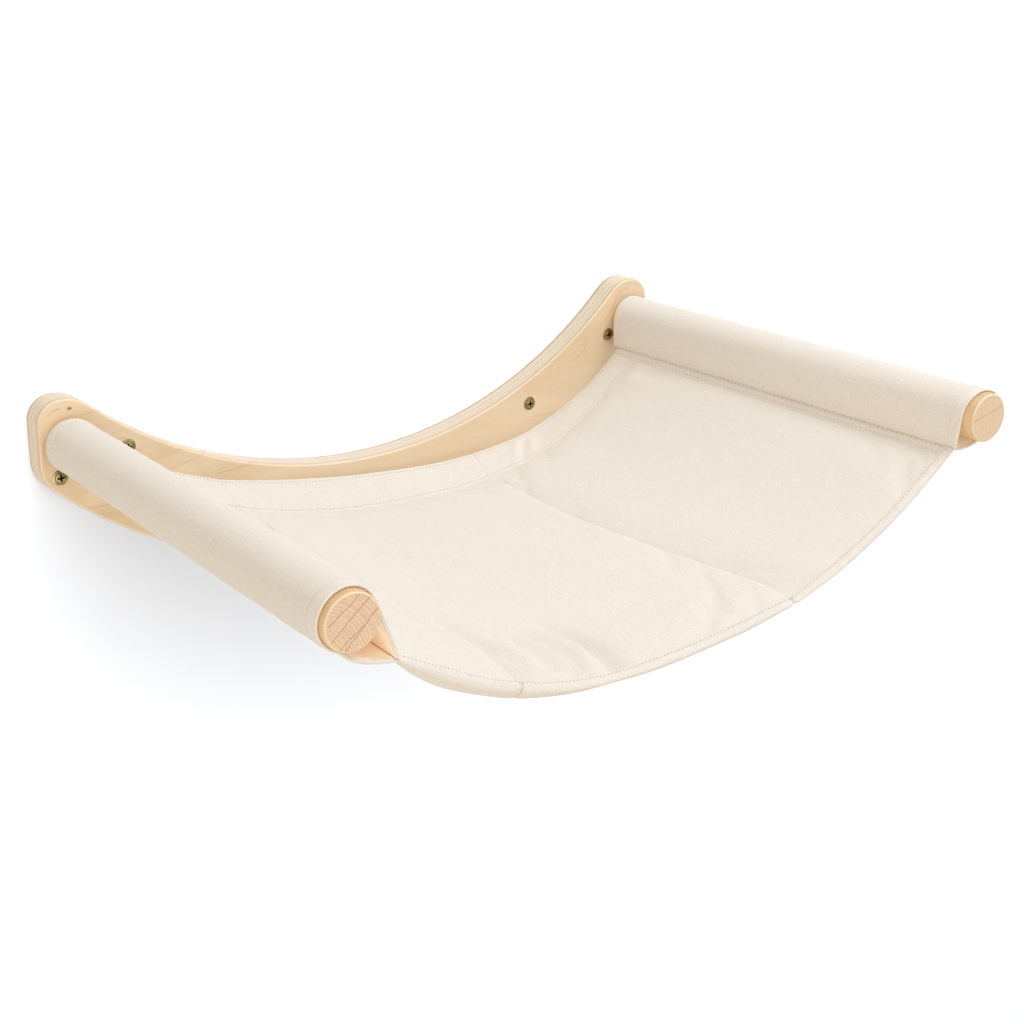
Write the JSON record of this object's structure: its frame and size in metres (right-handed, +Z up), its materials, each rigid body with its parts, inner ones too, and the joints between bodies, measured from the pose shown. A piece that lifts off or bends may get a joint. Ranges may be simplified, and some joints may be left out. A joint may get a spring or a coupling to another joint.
{
  "type": "wall-mounted cat hammock",
  "caption": "Padded cream cloth sling hung on round dowels that stand out from a crescent plywood wall plate, a bed for a cat.",
  "frame": {"origin": "middle of the wall plate's back face, on the wall", "axes": "+X along the wall to the right as seen from the room, +Y into the wall, +Z up"},
  "size_m": [0.481, 0.381, 0.152],
  "materials": {
    "birch_plywood": "clear satin lacquer, plies showing on the edges",
    "dowel_wood": "sanded and oiled",
    "screw_brass": "antique brass plating",
    "bolt_steel": "zinc plated",
    "insert_brass": "turned",
    "cream_cloth": "brushed cotton",
    "wadding": "loose polyester fibre"
  },
  "bodies": {
    "wall_frame": {"wall_plate": "birch_plywood", "left_dowel": "dowel_wood", "right_dowel": "dowel_wood", "left_dowel_insert": "insert_brass", "right_dowel_insert": "insert_brass", "left_dowel_bolt": "bolt_steel", "right_dowel_bolt": "bolt_steel", "left_outer_screw": "screw_brass", "left_inner_screw": "screw_brass", "left_lower_screw": "screw_brass", "right_outer_screw": "screw_brass", "right_inner_screw": "screw_brass", "right_lower_screw": "screw_brass"},
    "sling": {"left_sleeve": "cream_cloth", "right_sleeve": "cream_cloth", "left_seam_tape": "cream_cloth", "right_seam_tape": "cream_cloth", "left_top_cloth": "cream_cloth", "left_wadding": "wadding", "left_under_cloth": "cream_cloth", "left_back_hem": "cream_cloth", "left_front_binding": "cream_cloth", "centre_top_cloth": "cream_cloth", "centre_wadding": "wadding", "centre_under_cloth": "cream_cloth", "centre_back_hem": "cream_cloth", "centre_front_binding": "cream_cloth", "right_top_cloth": "cream_cloth", "right_wadding": "wadding", "right_under_cloth": "cream_cloth", "right_back_hem": "cream_cloth", "right_front_binding": "cream_cloth"}
  },
  "joints": [
    {"name": "sling_slide", "type": "slide", "parent": "wall_frame", "child": "sling", "axis": [0, -1, 0], "range_m": [0, 0.35]}
  ]
}
